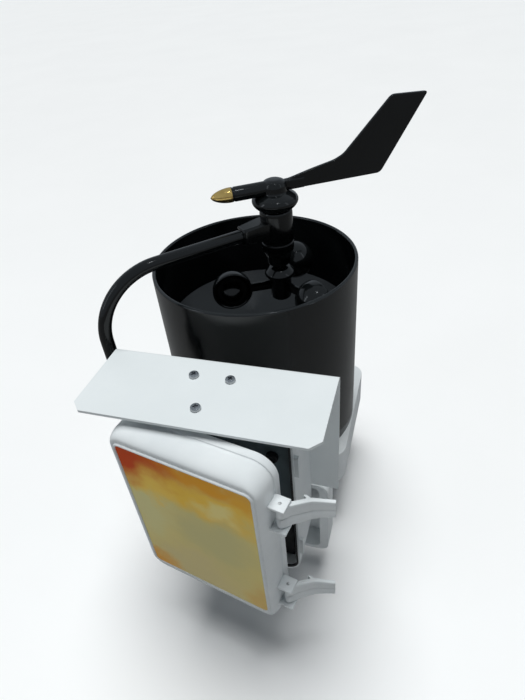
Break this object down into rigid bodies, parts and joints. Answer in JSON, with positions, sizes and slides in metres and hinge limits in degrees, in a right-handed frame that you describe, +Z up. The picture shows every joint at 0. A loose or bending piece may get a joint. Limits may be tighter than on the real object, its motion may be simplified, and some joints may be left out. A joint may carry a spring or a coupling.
{
  "type": "cup anemometer",
  "caption": "Compact weather instrument: wind vane and three-cup anemometer on a bent arm over a black rain collector, with a hooded, latched white electronics enclosure.",
  "frame": {"origin": "on the mast's axis, half way up the socket's clamped length", "axes": "+Z up along the mast, -Y towards the enclosure door, +X towards the door's latches"},
  "size_m": [0.2207, 0.2902, 0.388],
  "materials": {
    "black_gloss": "UV-stable black plastic, satin gloss with fine scuffs",
    "black_matte": "fine-grained matte black plastic",
    "white_moulding": "off-white moulded plastic with a fine texture",
    "white_sheet": "white powder coat on folded sheet",
    "stainless": "plain stainless, turned",
    "brass": "turned brass, lightly tarnished",
    "spoon_grey": "light grey moulded plastic",
    "slate_panel": "dark blue-grey plastic sheet",
    "board_green": "green solder mask",
    "seal_rubber": "soft black rubber",
    "label_print": "laminated label in blotched orange and straw colours",
    "level_glass": "clear vial with green fluid",
    "sensor_blue": "blue moulded sensor case",
    "red_wire": "red PVC",
    "ivory_plug": "ivory nylon"
  },
  "bodies": {
    "root": {"collector_bucket": "black_gloss", "debris_screen": "black_matte", "collector_base": "white_moulding", "drain_screens": "black_matte", "bubble_level": "level_glass", "spoon_cradle": "black_matte", "rain_switch": "board_green", "stop_screws": "brass", "mast_socket": "white_moulding", "socket_screws": "stainless", "clamp_bolts": "stainless", "clamp_nuts": "stainless", "enclosure_bracket": "white_moulding", "bracket_screws": "stainless", "hood_bracket": "white_sheet", "hood_screws": "stainless", "hood_spacer": "black_matte", "hood_nuts": "stainless", "plate_screws": "stainless", "enclosure_tray": "white_moulding", "enclosure_seal": "seal_rubber", "inner_panel": "slate_panel", "panel_knobs": "black_matte", "circuit_board": "board_green", "board_screws": "stainless", "battery": "black_matte", "battery_terminals": "brass", "red_lead": "red_wire", "black_lead": "black_matte", "lead_plug": "ivory_plug", "cable_gland": "black_matte", "hinge_pins": "stainless", "anemometer_arm": "black_gloss", "arm_clamp": "black_matte", "arm_clamp_screws": "stainless", "anemometer_head": "black_gloss", "head_lower": "black_gloss", "head_bushes": "brass", "direction_sensor": "sensor_blue", "speed_switch": "board_green"},
    "vane": {"vane_shaft": "stainless", "vane_hub": "black_gloss", "vane_boom": "black_gloss", "vane_nose": "brass", "vane_fin": "black_gloss"},
    "cup_rotor": {"cup_shaft": "stainless", "cup_hub": "black_gloss", "cup_1": "black_gloss", "cup_2": "black_gloss", "cup_3": "black_gloss"},
    "spoon": {"tipping_spoon": "spoon_grey", "spoon_pin": "stainless", "spoon_magnet": "stainless"},
    "door": {"enclosure_door": "white_moulding", "door_label": "label_print", "upper_latch_pin": "stainless", "lower_latch_pin": "stainless"},
    "upper_lever": {"upper_latch": "white_moulding"},
    "lower_lever": {"lower_latch": "white_moulding"}
  },
  "joints": [
    {"name": "vane_spin", "type": "hinge", "parent": "root", "child": "vane", "pos_m": [0.021, 0.002, 0.291], "axis": [0, 0, 1], "continuous": true},
    {"name": "cup_spin", "type": "hinge", "parent": "root", "child": "cup_rotor", "pos_m": [0.021, 0.002, 0.217], "axis": [0, 0, 1], "continuous": true},
    {"name": "spoon_tip", "type": "hinge", "parent": "root", "child": "spoon", "pos_m": [0, 0, 0.092], "axis": [0, 1, 0], "range_deg": [-24, 0]},
    {"name": "door_hinge", "type": "hinge", "parent": "root", "child": "door", "pos_m": [-0.051, -0.1573, 0.129], "axis": [0, 0, -1], "range_deg": [-11, 109]},
    {"name": "upper_latch_hinge", "type": "hinge", "parent": "door", "child": "upper_lever", "pos_m": [0.06955, -0.19224, 0.174], "axis": [0, 0, 1], "range_deg": [-35, 52]},
    {"name": "lower_latch_hinge", "type": "hinge", "parent": "door", "child": "lower_lever", "pos_m": [0.06955, -0.19224, 0.079], "axis": [0, 0, 1], "range_deg": [-35, 52]}
  ]
}
